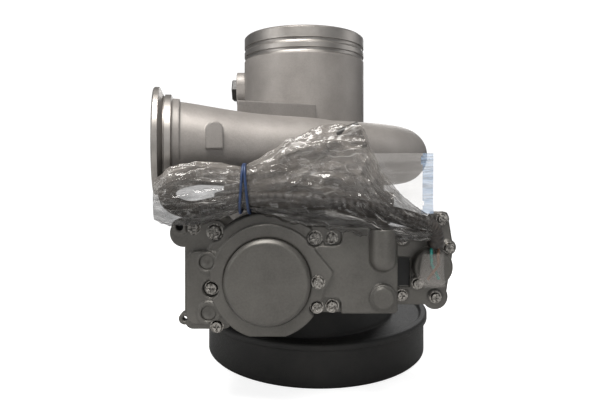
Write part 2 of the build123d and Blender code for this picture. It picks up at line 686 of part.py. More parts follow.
def case_hollow(y):
    """The space inside the case: motor and gears on the right, lightening pockets on the left."""
    with BuildSketch(front(y)) as hollow:
        with Locations(MOTOR):
            Circle(27)
        with Locations((18, 89.3)):
            RectangleRounded(64, 43, 4)
        with Locations(IDLER):
            Circle(FINE * WHEEL_TEETH / 2 + 1.2)
        with Locations((-62.5, 86.5)):
            RectangleRounded(9, 8, 2)
    return hollow.sketch


def screw(x, z, head_r, level, reach):
    """A pan-head screw and its washer, driven in from the front."""
    thread = head_r * 0.55
    bar(level, level - 0.6, [(x, z)], head_r + 0.7)
    bar(reach, level - 0.5, [(x, z)], thread)
    with BuildSketch(front(level - 0.6)) as head:
        with Locations((x, z)):
            Circle(head_r)
    extrude(head.sketch, amount=head_r * 0.62, taper=14)
    with BuildSketch(front(level - 1.6)) as cross:
        with Locations((x, z)):
            Rectangle(head_r * 1.05, head_r * 0.24)
            Rectangle(head_r * 0.24, head_r * 1.05)
    extrude(cross.sketch, amount=4, mode=Mode.SUBTRACT)


FOOT_SCREW_Y, FOOT_SCREW_Z = -99.5, (76, 100)  # screws that hold the side bracket to the case


def foot_holes(radius):
    """Cuts the side bracket's fixing holes along X."""
    with BuildSketch(Plane.YZ.offset(50)) as holes:
        with Locations(*[(FOOT_SCREW_Y, z) for z in FOOT_SCREW_Z]):
            Circle(radius)
    extrude(holes.sketch, amount=8, mode=Mode.SUBTRACT)


CASE_SPOTS = [spot for spot in COVER_SCREWS if spot[3] == ACT_FLANGE]
with BuildPart() as actuator_housing:
    extrude(case_outline(ACT_BACK, 0.8), amount=ACT_BACK - ACT_SPLIT - 1)
    extrude(case_hollow(-96), amount=30, mode=Mode.SUBTRACT)
    for x, z, head_r, level in CASE_SPOTS:
        bar(-111, ACT_SPLIT + 1, [(x, z)], 4.2)
    for spot in ((46.5, 73), (46.5, 107), (27.5, 107)):
        bar(-96, -117.4, [spot], 2)
    bar(-96, -96.7, [IDLER], 4.5)
    bar(-92, -97, [VANE_SHAFT], SHAFT_R + RUN_FIT, Mode.SUBTRACT)
    bar(-93.5, -97, [IDLER], 2, Mode.SUBTRACT)
    for x, z, head_r, level in CASE_SPOTS:
        bar(-112, ACT_SPLIT, [(x, z)], head_r * 0.55, Mode.SUBTRACT)
    for x, z in ((-38, 70), (-38, 101), (2, 101), (2, 70)):
        bar(-91, -97, [(x, z)], 2.7, Mode.SUBTRACT)
        bar(-94.5, -97, [(x, z)], 4.7, Mode.SUBTRACT)
    foot_holes(2)
write(actuator_housing, "actuator_housing")

with BuildPart() as actuator_gasket:
    extrude(case_outline(ACT_SPLIT + 1, 0.8), amount=1)
    extrude(case_hollow(ACT_SPLIT + 1), amount=1, mode=Mode.SUBTRACT)
    for x, z, head_r, level in CASE_SPOTS:
        bar(ACT_SPLIT + 1, ACT_SPLIT, [(x, z)], 4)
    for x, z, head_r, level in CASE_SPOTS:
        bar(ACT_SPLIT + 1, ACT_SPLIT, [(x, z)], head_r * 0.55, Mode.SUBTRACT)
write(actuator_gasket, "actuator_gasket")

with BuildPart() as actuator_cover:
    extrude(case_outline(ACT_SPLIT), amount=ACT_SPLIT - ACT_FLANGE)
    # Stepped rings round the motor, the inner one running out to the right
    with BuildSketch(front(ACT_SPLIT)):
        with Locations(MOTOR):
            Circle(TALL_R - 1)
        with Locations((MOTOR[0], 130)):
            Rectangle(120, 62, mode=Mode.INTERSECT)
    extrude(amount=ACT_SPLIT + 129.5)
    with BuildSketch(front(ACT_SPLIT)):
        with Locations(MOTOR):
            Circle(RING_R)
        with BuildLine():
            FilletPolyline((-0.9, 109.2), (16.5, 88.5), (10.5, 78), (3, 71), (-22, 58), radius=3, close=True)
        make_face()
    extrude(amount=ACT_SPLIT - ACT_RING)
    # Raised sides: left block, and the connector side with a pocket at each pair of screws
    with BuildSketch(front(ACT_SPLIT)):
        with Locations((-55, 79.3)):
            RectangleRounded(30.6, 43, 6)
        with Locations((23, 89.5)):
            RectangleRounded(62, 50.4, 2.5)
        with Locations((7, 113.6)):
            RectangleRounded(29, 19, 4, mode=Mode.SUBTRACT)
        with Locations((6, 60.4)):
            RectangleRounded(30, 26, 4, mode=Mode.SUBTRACT)
        with Locations((-55.5, 79)):
            Circle(5.4, mode=Mode.SUBTRACT)
    extrude(amount=ACT_SPLIT - ACT_RAISED)
    with BuildSketch(Plane.XY.offset(97)):
        with Locations((45.3, -130.4)):
            Circle(8.3)
    extrude(amount=17.6)
    with Locations((45.3, -130.4, 97)):
        Sphere(8.3)
    bar(ACT_SPLIT, -133, [(45.2, 73.9)], 7.9)
    bar(-133, -134.2, [(45.2, 73.9)], 6.3)
    # Bosses round the screws and plugs
    for x, z, radius in CORE_PLUGS:
        bar(ACT_SPLIT, ACT_RAISED - 1, [(x, z)], radius)
    bar(ACT_SPLIT, -128.6, [(-74.9, 114.9)], 4.8)
    bar(ACT_SPLIT, ACT_FLANGE, [(-72.1, 60.1)], 3.6)
    # Hollows: motor bore, cap seat, terminal space, screw and plug holes
    block((26, -127.5, 71), (49, ACT_SPLIT + 1, 108), Mode.SUBTRACT)
    bar(ACT_SPLIT + 1, -140, [MOTOR], 22.6, Mode.SUBTRACT)
    bar(-130.5, -140, [MOTOR], CAP_R + 0.5, Mode.SUBTRACT)
    for x, z, head_r, level in COVER_SCREWS:
        low = ACT_SPLIT + 1 if level == ACT_FLANGE else ACT_SPLIT - 1
        bar(low, -140, [(x, z)], head_r * 0.55 + 0.05, Mode.SUBTRACT)
        bar(level, -140, [(x, z)], head_r + 1.2, Mode.SUBTRACT)
    for x, z, radius in CORE_PLUGS:
        bar(-127, -140, [(x, z)], 4.5, Mode.SUBTRACT)
    bar(ACT_SPLIT + 1, -140, [(-74.9, 114.9)], 2.3, Mode.SUBTRACT)
    bar(ACT_SPLIT + 1, -140, [(-72.1, 60.1)], 1.5, Mode.SUBTRACT)
    block((-60, -140, 40), (20, -110, CASE_FOOT), Mode.SUBTRACT)
write(actuator_cover, "actuator_cover")

with BuildPart() as motor_cap:
    with BuildSketch(front(-130.5)):
        with Locations(MOTOR):
            Circle(CAP_R)
    extrude(amount=-ACT_CAP - 130.5)
    chamfer(motor_cap.faces().sort_by(Axis.Y)[0].edges(), 1.9)
    bar(-130.5, -134.4, [MOTOR], 22.8, Mode.SUBTRACT)
write(motor_cap, "motor_cap")

with BuildPart() as core_plugs:
    for x, z, radius in CORE_PLUGS:
        bar(-127, -130.6, [(x, z)], 4.5)
        with Locations((x, -137.2, z)):
            Sphere(8, mode=Mode.SUBTRACT)
write(core_plugs, "core_plugs")

with BuildPart() as large_screws:
    for x, z, head_r, level in COVER_SCREWS:
        if head_r > 3.5:
            screw(x, z, head_r, level, -113)
write(large_screws, "cover_screws_large")

with BuildPart() as small_screws:
    for x, z, head_r, level in COVER_SCREWS:
        if head_r <= 3.5:
            screw(x, z, head_r, level, -113 if level == ACT_FLANGE else -124)
write(small_screws, "cover_screws_small")

with BuildPart() as mounting_bolts:
    for x, z in ((-38, 70), (-38, 101), (2, 101), (2, 70)):
        bar(-85, -96, [(x, z)], 2.45)
        bar(-94.5, -96, [(x, z)], 4.4)
write(mounting_bolts, "actuator_mounting_bolts")

with BuildPart() as circuit_board:
    block((24.5, -119, 71), (49.4, -117.4, 108.5))
    with BuildSketch(front(-115.8)):
        with Locations((36, 90)):
            with GridLocations(9, 11, 2, 3):
                Rectangle(5, 5)
    extrude(amount=1.6)
write(circuit_board, "circuit_board")

with BuildPart() as position_magnet:
    bar(-108.8, -111.5, [VANE_SHAFT], 4)
write(position_magnet, "position_magnet")

# ---------------------------------------------------------------- side bracket and terminal
BRACKET_SCREWS = [(60.3, 105.5), (60, 70.2), (89.4, 99.9), (85.2, 117.7), (69.9, 77.5), (81.1, 69)]
TERMINAL = (78.4, 88.9)
with BuildPart() as side_bracket:
    with BuildSketch(front(-106)):
        with BuildLine():
            corners = [(53.3, 64), (80, 64), (88, 70), (92, 95), (92, 104), (89, 122), (80, 122)]
            corners += [(74, 112), (53.3, 112)]
            FilletPolyline(*corners, radius=2, close=True)
        make_face()
        with Locations((81.1, 69)):
            Circle(8)
        with Locations((89.4, 99.9)):
            Circle(5)
    extrude(amount=6)
    block((53.3, -106, 66), (57, -93, 110))
    with BuildSketch(front(-112)):
        with Locations((61.7, 84)):
            RectangleRounded(8.6, 19.6, 1.5)
            RectangleRounded(6.8, 17.8, 1, mode=Mode.SUBTRACT)
    extrude(amount=1.6)
    bar(-112, -113, BRACKET_SCREWS, 4.6)
    bar(-105, -114, BRACKET_SCREWS, 1.75, Mode.SUBTRACT)
    foot_holes(2.05)
write(side_bracket, "side_bracket")

with BuildPart() as foot_screws:
    for z in FOOT_SCREW_Z:
        with BuildSketch(Plane.YZ.offset(57)):
            with Locations((FOOT_SCREW_Y, z)):
                Circle(3.4)
                RegularPolygon(1.8, 6, mode=Mode.SUBTRACT)
        extrude(amount=2.6)
        with BuildSketch(Plane.YZ.offset(50.4)):
            with Locations((FOOT_SCREW_Y, z)):
                Circle(1.95)
        extrude(amount=7)
write(foot_screws, "bracket_foot_screws")

with BuildPart() as bracket_screws:
    for x, z in BRACKET_SCREWS:
        screw(x, z, 3.1, -113, -107.5)
write(bracket_screws, "side_bracket_screws")

with BuildPart() as terminal_body:
    with BuildSketch(front(-112)):
        with Locations(TERMINAL):
            Circle(12)
    extrude(amount=7.6)
    fillet(terminal_body.faces().sort_by(Axis.Y)[0].edges(), 1.5)
    for x, z in BRACKET_SCREWS:
        bar(-112, -120, [(x, z)], 4.9, Mode.SUBTRACT)
write(terminal_body, "terminal_body")

BOOT_Y = -124.4
with BuildPart() as terminal_boot:
    with BuildSketch(Plane.XY.offset(79)):
        with Locations((75.3, BOOT_Y)):
            RectangleRounded(17, 8, 3.8)
    with BuildSketch(Plane.XY.offset(98.5)):
        with Locations((76.5, BOOT_Y)):
            RectangleRounded(13, 7.4, 3.5)
    loft()
    with BuildSketch(Plane.XY.offset(80)):
        with Locations((75.3, BOOT_Y)):
            RectangleRounded(15.4, 6.4, 3.1)
    with BuildSketch(Plane.XY.offset(98.6)):
        with Locations((76.5, BOOT_Y)):
            RectangleRounded(11.4, 5.8, 2.8)
    loft(mode=Mode.SUBTRACT)
write(terminal_boot, "terminal_boot")

CONDUIT_R = 5.0
ROUTE = [
    (79, -121, 103),
    (78, -124.5, 114),
    (56, -127, 121.5),
    (20, -129.5, 129),
    (-26, -131, 132.5),
    (-50, -134, 129),
    (-68, -137, 125),
    (-79.5, -139.5, 131),
    (-78.5, -139.5, 141),
    (-63, -136.5, 146),
    (-35, -131, 143.5),
    (-12, -130, 152),
    (12, -128.5, 161.5),
]


def bend_radii(points):
    """The largest bends that leave a tenth of each shorter run straight."""
    radii = []
    for before, here, after in zip(points, points[1:], points[2:]):
        arrive, leave = Vector(here) - Vector(before), Vector(after) - Vector(here)
        turn = radians(arrive.get_angle(leave))
        radii.append(0.45 * min(arrive.length, leave.length) / tan(turn / 2))
    return radii


RADII = bend_radii(ROUTE)
print("conduit bend radii, mm:", [round(r, 1) for r in RADII])
with BuildPart() as conduit:
    with BuildLine():
        run = FilletPolyline(*ROUTE, radius=RADII)
    with BuildSketch(Plane(origin=run @ 0, z_dir=run % 0)):
        Circle(CONDUIT_R)
    sweep(path=run)
CONDUIT_LENGTH = run.length
print("conduit length, mm:", round(CONDUIT_LENGTH, 1))
print("volume over section times length:", conduit.part.volume / (pi * CONDUIT_R**2 * CONDUIT_LENGTH))
write(conduit, "harness_conduit")

with BuildPart() as connector:
    way = (Vector(*ROUTE[-1]) - Vector(*ROUTE[-2])).normalized()
    end_plane = Plane(origin=Vector(*ROUTE[-1]) + way * 0.2, x_dir=way.cross(Vector(0, 1, 0)), z_dir=way)
    with BuildSketch(end_plane):
        RectangleRounded(12, 11, 2)
    extrude(amount=8)
    with BuildSketch(end_plane.offset(8)):
        RectangleRounded(16, 13, 2.5)
    extrude(amount=14)
    with BuildSketch(end_plane.offset(12)):
        RectangleRounded(13, 10, 1.5)
    extrude(amount=12, mode=Mode.SUBTRACT)
    with BuildSketch(end_plane.offset(11.5)):
        with GridLocations(4, 4.4, 3, 2):
            Circle(0.8)
    extrude(amount=6)
write(connector, "harness_connector")

with BuildPart() as wires:
    teal = [(76.2, -122.2, 101), (75.5, BOOT_Y, 97), (75.8, BOOT_Y, 92), (80, BOOT_Y, 83)]
    brown = [(80.5, -122.2, 101), (79.6, BOOT_Y, 97), (79.2, BOOT_Y - 2, 92), (73, BOOT_Y - 2, 83)]
    for points in (teal, brown):
        with BuildLine():
            lead = FilletPolyline(*points, radius=1.6)
        with BuildSketch(Plane(origin=lead @ 0, z_dir=lead % 0)):
            Circle(0.9)
        sweep(path=lead)
write(wires, "terminal_wires")

# Bag stations along X: (x, front y, back y, low z, high z)
BAG = [
    (-87, -145.6, -133.6, 124, 145),
    (-77, -146, -131, 118.2, 149.6),
    (-60, -143.6, -128.2, 119.2, 153.4),
    (-38, -138.6, -124, 125, 150.6),
    (-30, -138.6, -124, 125, 150.6),
    (-14, -137.2, -122.4, 125, 160.4),
    (12, -137.4, -119.4, 121.4, 175),
    (36, -138.4, -119.4, 117.4, 184),
]
BAG_WALL = 0.5


def bag_hull(inset, mode=Mode.ADD):
    """The tied bag as a run of rounded sections along X."""
    sections = []
    for x, y_front, y_back, low, high in BAG:
        centre = ((y_front + y_back) / 2, (low + high) / 2)
        shift = inset if (x, y_front) == BAG[0][:2] else 0
        with BuildSketch(Plane.YZ.offset(x + shift)) as section:
            with Locations(centre):
                width, height = y_back - y_front - 2 * inset, high - low - 2 * inset
                RectangleRounded(width, height, min(width, height) * 0.3)
        sections += section.sketch.faces()
    loft(sections, ruled=True, mode=mode)


with BuildPart() as bag:
    bag_hull(0)
    bag_hull(BAG_WALL, Mode.SUBTRACT)
write(bag, "harness_bag")

with BuildPart() as bag_flap:
    block((38, -118.9, 121.5), (78.5, -118.4, 158.8))
    block((-5, -118.9, 124.5), (38, -118.4, 158.8))
write(bag_flap, "bag_flap")

with BuildPart() as bag_tie:
    with BuildSketch(Plane.YZ.offset(-36)):
        with Locations((-131.3, 137.8)):
            RectangleRounded(18.4, 29.2, 6)
            RectangleRounded(15.6, 26.4, 4.8, mode=Mode.SUBTRACT)
    extrude(amount=4)
write(bag_tie, "bag_tie")

# ---------------------------------------------------------------- turbine joint band
BAND_GAP_WAY = 140.0
with BuildPart() as v_band:
    band = [(62.6, 50.8), (62.6, 51.7), (66.3, 54.5), (66.3, 57.5), (62.6, 60.3), (62.6, 61.2)]
    band += [(69, 61.2), (70.6, 59.6), (70.6, 52.4), (69, 50.8)]
    turned(band)
    with BuildSketch(Plane.XY.offset(51)):
        with Locations(Rot(0, 0, BAND_GAP_WAY) * Pos(74.5, 0)):
            Rectangle(12, 26)
    extrude(amount=10)
    with BuildSketch(Plane.XY.offset(50)):
        with Locations(Rot(0, 0, BAND_GAP_WAY) * Pos(72, 0)):
            Rectangle(30, 12)
        Circle(66.35, mode=Mode.SUBTRACT)
    extrude(amount=12, mode=Mode.SUBTRACT)
    turned([(60, 49), (66.3, 54.5), (66.3, 57.5), (60, 62.5)], Mode.SUBTRACT)
    with BuildSketch(Plane.XZ.rotated((0, 0, BAND_GAP_WAY)).offset(-20)):
        with Locations((75.5, 56)):
            Circle(3.1)
    extrude(amount=40, mode=Mode.SUBTRACT)
write(v_band, "turbine_v_band")

with BuildPart() as band_bolt:
    with BuildSketch(Plane.XZ.rotated((0, 0, BAND_GAP_WAY)).offset(-26)):
        with Locations((75.5, 56)):
            Circle(2.95)
    extrude(amount=46)
    with BuildSketch(Plane.XZ.rotated((0, 0, BAND_GAP_WAY)).offset(13)):
        with Locations((75.5, 56)):
            RegularPolygon(4.6, 6, major_radius=False)
    extrude(amount=4)
write(band_bolt, "v_band_bolt")

with BuildPart() as band_nut:
    with BuildSketch(Plane.XZ.rotated((0, 0, BAND_GAP_WAY)).offset(-19.2)):
        with Locations((75.5, 56)):
            RegularPolygon(4.6, 6, major_radius=False)
            Circle(3, mode=Mode.SUBTRACT)
    extrude(amount=6.2)
write(band_nut, "v_band_nut")
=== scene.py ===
"""Looks for the turbocharger and its vane actuator: camera, harness, bag, castings, metals and light."""

import json
import math

import bpy
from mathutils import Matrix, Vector, noise


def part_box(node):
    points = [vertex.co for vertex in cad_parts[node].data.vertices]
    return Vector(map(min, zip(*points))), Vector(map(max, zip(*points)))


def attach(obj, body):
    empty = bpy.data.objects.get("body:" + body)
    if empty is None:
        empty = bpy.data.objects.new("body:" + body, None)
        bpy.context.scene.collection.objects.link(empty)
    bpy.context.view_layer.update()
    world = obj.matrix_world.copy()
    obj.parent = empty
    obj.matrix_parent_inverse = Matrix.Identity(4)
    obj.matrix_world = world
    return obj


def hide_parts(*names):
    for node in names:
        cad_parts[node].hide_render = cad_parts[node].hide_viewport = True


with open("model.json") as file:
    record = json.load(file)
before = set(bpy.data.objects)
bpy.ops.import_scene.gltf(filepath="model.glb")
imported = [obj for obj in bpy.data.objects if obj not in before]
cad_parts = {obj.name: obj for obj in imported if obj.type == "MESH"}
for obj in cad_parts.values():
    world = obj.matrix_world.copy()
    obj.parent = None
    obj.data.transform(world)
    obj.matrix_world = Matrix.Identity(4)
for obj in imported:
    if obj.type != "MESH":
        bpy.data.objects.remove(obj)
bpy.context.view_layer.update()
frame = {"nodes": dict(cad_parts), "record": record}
MM = 0.001


# ---------------------------------------------------------------- camera
CAMERA_PLACE = (-0.00344, -0.413, 0.1558)
LENS = 28.8  # mm, on a sensor 36 mm wide


def make_camera():
    """A level camera in front of the actuator, framed low."""
    data = bpy.data.cameras.new("camera")
    data.lens = LENS
    data.shift_y = -0.0775
    data.clip_start = 0.01
    camera = bpy.data.objects.new("camera", data)
    camera.location = CAMERA_PLACE
    camera.rotation_euler = (math.radians(90), 0, 0)
    bpy.context.scene.collection.objects.link(camera)
    bpy.context.scene.camera = camera


make_camera()

# ---------------------------------------------------------------- harness conduit
CONDUIT_R = 5.0
CORNER_CUT = 0.28  # share of the shorter run that a bend takes up
# Points the conduit runs through, in mm, from the terminal round the fold to the connector
ROUTE = [
    (79, -121, 103),
    (78, -124.5, 114),
    (56, -127, 121.5),
    (20, -129.5, 129),
    (-26, -131, 132.5),
    (-50, -134, 129),
    (-68, -137, 125),
    (-79.5, -139.5, 131),
    (-78.5, -139.5, 141),
    (-63, -136.5, 146),
    (-35, -131, 143.5),
    (-12, -130, 152),
    (12, -128.5, 161.5),
]


def rounded_route(points):
    """Route points with two points in place of each corner, so that a spline keeps to the bends."""
    kept = [Vector(points[0])]
    for before, here, after in zip(points, points[1:], points[2:]):
        here = Vector(here)
        arrive, leave = here - Vector(before), Vector(after) - here
        cut = CORNER_CUT * min(arrive.length, leave.length)
        kept += [here - arrive.normalized() * cut, here + leave.normalized() * cut]
    return kept + [Vector(points[-1])]


def make_conduit():
    """The corrugated conduit, from the terminal to the connector."""
    curve = bpy.data.curves.new("conduit", "CURVE")
    curve.dimensions = "3D"
    spline = curve.splines.new("NURBS")
    points = [p * MM for p in rounded_route(ROUTE)]
    spline.points.add(len(points) - 1)
    for point, place in zip(spline.points, points):
        point.co = (*place, 1)
        point.radius = CONDUIT_R * MM
    spline.order_u = 3
    spline.use_endpoint_u = True
    spline.resolution_u = 10
    curve.bevel_depth = 1.0  # times each point's radius
    curve.bevel_resolution = 6
    curve.use_fill_caps = True
    conduit = bpy.data.objects.new("conduit", curve)
    bpy.context.scene.collection.objects.link(conduit)
    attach(conduit, "housing")
    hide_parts("harness_conduit")
    return conduit


conduit = make_conduit()


# ---------------------------------------------------------------- node helpers
def new_material(name, colour, metallic, roughness):
    """A material with its Principled shader set up; returns (material, tree, shader)."""
    made = bpy.data.materials.new(name)
    made.use_nodes = True
    tree = made.node_tree
    shader = next(n for n in tree.nodes if n.type == "BSDF_PRINCIPLED")
    shader.inputs["Base Color"].default_value = (*colour, 1)
    shader.inputs["Metallic"].default_value = metallic
    shader.inputs["Roughness"].default_value = roughness
    return made, tree, shader


def add_node(tree, kind, settings=(), **values):
    """Adds a node, with its settings and the default values of its inputs."""
    node = tree.nodes.new(kind)
    for key, value in dict(settings).items():
        setattr(node, key, value)
    for key, value in values.items():
        node.inputs[key].default_value = value
    return node


def coords(tree, stretch=(1, 1, 1), source="Object"):
    """Coordinates in metres, stretched along the axes."""
    place = add_node(tree, "ShaderNodeTexCoord")
    scaled = add_node(tree, "ShaderNodeMapping", Scale=stretch)
    tree.links.new(place.outputs[source], scaled.inputs["Vector"])
    return scaled.outputs["Vector"]


def noise_value(tree, scale, detail=4, stretch=(1, 1, 1), source="Object"):
    """A noise texture's value output, with scale in cycles per metre."""
    made = add_node(tree, "ShaderNodeTexNoise", Scale=scale, Detail=detail, Roughness=0.55)
    tree.links.new(coords(tree, stretch, source), made.inputs["Vector"])
    return made.outputs["Fac"]


def arithmetic(tree, operation, first, second):
    """A maths node on a value and either another value or a number."""
    made = add_node(tree, "ShaderNodeMath", {"operation": operation})
    tree.links.new(first, made.inputs[0])
    if isinstance(second, (int, float)):
        made.inputs[1].default_value = second
    else:
        tree.links.new(second, made.inputs[1])
    return made.outputs[0]


def spread(tree, value, low, high, start=0.3, end=0.7):
    """Maps a noise value onto numbers from low to high."""
    made = add_node(tree, "ShaderNodeMapRange")
    for key, number in zip(("From Min", "From Max", "To Min", "To Max"), (start, end, low, high)):
        made.inputs[key].default_value = number
    tree.links.new(value, made.inputs["Value"])
    return made.outputs["Result"]


def tint(tree, value, dark, light, start=0.3, end=0.7):
    """Maps a noise value onto colours from dark to light."""
    ramp = add_node(tree, "ShaderNodeValToRGB")
    ramp.color_ramp.elements[0].position = start
    ramp.color_ramp.elements[0].color = (*dark, 1)
    ramp.color_ramp.elements[1].position = end
    ramp.color_ramp.elements[1].color = (*light, 1)
    tree.links.new(value, ramp.inputs["Fac"])
    return ramp.outputs["Color"]


def bump(tree, height, distance, strength=1.0, under=None):
    """A bump node over another normal; returns its normal."""
    made = add_node(tree, "ShaderNodeBump", Distance=distance, Strength=strength)
    tree.links.new(height, made.inputs["Height"])
    if under is not None:
        tree.links.new(under, made.inputs["Normal"])
    return made.outputs["Normal"]


def soft_edges(tree, radius):
    """A normal that rounds edges by a radius in metres."""
    return add_node(tree, "ShaderNodeBevel", {"samples": 6}, Radius=radius).outputs["Normal"]


def cast_metal(name, dark, light, metallic, roughness, grain, edge):
    """Sand or die cast metal: mottled tone, a grainy skin and soft edges."""
    made, tree, shader = new_material(name, light, metallic, roughness)
    blotches = noise_value(tree, 38, 6)
    specks = noise_value(tree, 900, 2)
    shares = arithmetic(tree, "MULTIPLY", specks, 0.35), arithmetic(tree, "MULTIPLY", blotches, 0.65)
    tone = arithmetic(tree, "ADD", *shares)
    tree.links.new(tint(tree, tone, dark, light), shader.inputs["Base Color"])
    rough = spread(tree, specks, roughness - 0.07, roughness + 0.09)
    tree.links.new(rough, shader.inputs["Roughness"])
    normal = bump(tree, noise_value(tree, 1500, 3), grain, 0.9, soft_edges(tree, edge))
    normal = bump(tree, blotches, grain * 4, 0.5, normal)
    tree.links.new(normal, shader.inputs["Normal"])
    return made


def turned_metal(name, dark, light, roughness, stretch):
    """Machined metal with fine tool lines, set by how the noise is stretched."""
    made, tree, shader = new_material(name, light, 1.0, roughness)
    lines = noise_value(tree, 700, 3, stretch)
    stains = noise_value(tree, 60, 4)
    tree.links.new(tint(tree, stains, dark, light), shader.inputs["Base Color"])
    tree.links.new(spread(tree, lines, roughness - 0.06, roughness + 0.1), shader.inputs["Roughness"])
    normal = bump(tree, lines, 0.00003, 0.6, soft_edges(tree, 0.0003))
    tree.links.new(normal, shader.inputs["Normal"])
    return made


def plated_metal():
    """Bright zinc on screws, nuts and washers."""
    made, tree, shader = new_material("zinc", (0.5, 0.48, 0.45), 1.0, 0.25)
    stains = noise_value(tree, 600, 3)
    tree.links.new(tint(tree, stains, (0.04, 0.036, 0.032), (0.45, 0.43, 0.4)), shader.inputs["Base Color"])
    tree.links.new(spread(tree, stains, 0.16, 0.38), shader.inputs["Roughness"])
    tree.links.new(soft_edges(tree, 0.0002), shader.inputs["Normal"])
    return made


def plain_plastic(name, dark, light, roughness, scale=500):
    """Moulded plastic or rubber with a slight mottle and a fine texture."""
    made, tree, shader = new_material(name, light, 0.0, roughness)
    stains = noise_value(tree, scale, 4)
    tree.links.new(tint(tree, stains, dark, light), shader.inputs["Base Color"])
    tree.links.new(spread(tree, stains, roughness - 0.08, roughness + 0.08), shader.inputs["Roughness"])
    tree.links.new(bump(tree, stains, 0.00005, 0.5), shader.inputs["Normal"])
    return made


def conduit_plastic():
    """Dark conduit plastic, ribbed round its length."""
    made, tree, shader = new_material("conduit_plastic", (0.02, 0.017, 0.014), 0.0, 0.5)
    place = add_node(tree, "ShaderNodeTexCoord")
    ribs = add_node(tree, "ShaderNodeTexWave", {"wave_type": "BANDS", "bands_direction": "X"}, Scale=32)
    tree.links.new(place.outputs["UV"], ribs.inputs["Vector"])
    stains = noise_value(tree, 300, 4)
    colour = tint(tree, stains, (0.01, 0.008, 0.007), (0.034, 0.027, 0.022))
    tree.links.new(colour, shader.inputs["Base Color"])
    tree.links.new(spread(tree, stains, 0.4, 0.6), shader.inputs["Roughness"])
    tree.links.new(bump(tree, ribs.outputs["Fac"], 0.0004, 0.7), shader.inputs["Normal"])
    return made


def clear_film(name, clear, cloudy, scale, colour=(0.5, 0.48, 0.45), highlight_alpha=0.55, low_colour=None):
    """Thin clear film: cloudy patches, painted highlights as thin pale lines along creases in U, and a tint
    for its lower part.
    """
    made, tree, shader = new_material(name, colour, 0.0, 0.12)
    shader.inputs["IOR"].default_value = 1.5
    shader.inputs["Coat Weight"].default_value = 0.8
    shader.inputs["Coat Roughness"].default_value = 0.04
    patches = noise_value(tree, scale, 4, (0.3, 1, 1), "UV")
    folds = noise_value(tree, scale, 3, (0.14, 1, 1), "UV")
    distance = arithmetic(tree, "ABSOLUTE", arithmetic(tree, "SUBTRACT", folds, 0.5), 0)
    # Painted highlight: thin pale lines where the fold noise crosses its middle stand in for light glinting
    # off the creases
    highlight_core = spread(tree, distance, highlight_alpha, 0.0, 0.0, 0.02)
    crease_highlight = arithmetic(tree, "MULTIPLY", highlight_core, spread(tree, patches, 0.1, 1.0, 0.42, 0.66))
    cloud = spread(tree, patches, clear, cloudy, 0.35, 0.65)
    tree.links.new(arithmetic(tree, "MAXIMUM", crease_highlight, cloud), shader.inputs["Alpha"])
    place = add_node(tree, "ShaderNodeSeparateXYZ")
    tree.links.new(coords(tree), place.inputs["Vector"])
    height = spread(tree, place.outputs["Z"], 0.0, 1.0, 0.127, 0.152)
    body = tint(tree, height, low_colour or colour, colour, 0.0, 1.0)
    # The painted crease highlights are mixed into the colour as pale grey
    highlight_mix = add_node(tree, "ShaderNodeMix", {"data_type": "RGBA"})
    tree.links.new(crease_highlight, highlight_mix.inputs["Factor"])
    tree.links.new(body, highlight_mix.inputs["A"])
    highlight_mix.inputs["B"].default_value = (0.75, 0.73, 0.7, 1)
    tree.links.new(highlight_mix.outputs["Result"], shader.inputs["Base Color"])
    tree.links.new(spread(tree, patches, 0.06, 0.25), shader.inputs["Roughness"])
    tree.links.new(bump(tree, folds, 0.0025, 0.9), shader.inputs["Normal"])
    return made


CAST_ALUMINIUM = cast_metal(
    "cast_aluminium", (0.195, 0.18, 0.168), (0.3, 0.28, 0.262), 0.45, 0.5, grain=0.00012, edge=0.0018
)
DIE_CAST = cast_metal(
    "die_cast", (0.08, 0.076, 0.07), (0.13, 0.124, 0.113), 0.6, 0.38, grain=0.00004, edge=0.002
)
BLACK_IRON = cast_metal(
    "black_iron", (0.006, 0.006, 0.006), (0.019, 0.018, 0.0165), 0.3, 0.6, grain=0.00018, edge=0.002
)
MACHINED = turned_metal("machined", (0.28, 0.262, 0.245), (0.4, 0.378, 0.355), 0.42, (0.15, 0.15, 6))
STEEL = turned_metal("steel", (0.3, 0.29, 0.28), (0.5, 0.49, 0.47), 0.3, (1, 1, 1))
BRASS = turned_metal("brass", (0.5, 0.36, 0.16), (0.75, 0.57, 0.3), 0.25, (1, 1, 4))
COPPER = turned_metal("copper", (0.5, 0.22, 0.1), (0.75, 0.36, 0.2), 0.3, (1, 6, 1))
ZINC = plated_metal()
BLACK_PLASTIC = plain_plastic("black_plastic", (0.01, 0.009, 0.008), (0.03, 0.027, 0.024), 0.45)
RUBBER = plain_plastic("rubber", (0.008, 0.008, 0.008), (0.02, 0.02, 0.02), 0.7)
BOARD = plain_plastic("board", (0.01, 0.06, 0.03), (0.02, 0.12, 0.05), 0.3)
BLUE = plain_plastic("blue_tie", (0.008, 0.018, 0.05), (0.02, 0.045, 0.12), 0.4)
TEAL = plain_plastic("teal_wire", (0.0, 0.12, 0.11), (0.01, 0.24, 0.2), 0.35)
BROWN = plain_plastic("brown_wire", (0.06, 0.03, 0.015), (0.14, 0.07, 0.04), 0.4)
CONDUIT = conduit_plastic()
# The sixth number of each film sets how opaque its painted crease highlights are
BAG_FILM = clear_film("bag_film", 0.3, 0.66, 150, (0.26, 0.238, 0.218), 0.75, (0.022, 0.019, 0.016))
FLAP_FILM = clear_film("flap_film", 0.26, 0.38, 60, (0.5, 0.48, 0.46), 0.42)
SEAL_FILM = clear_film("seal_film", 0.6, 0.8, 300, (0.25, 0.33, 0.45), 0.8)
BOOT_FILM = clear_film("boot_film", 0.08, 0.22, 200, (0.3, 0.28, 0.26), 0.3)

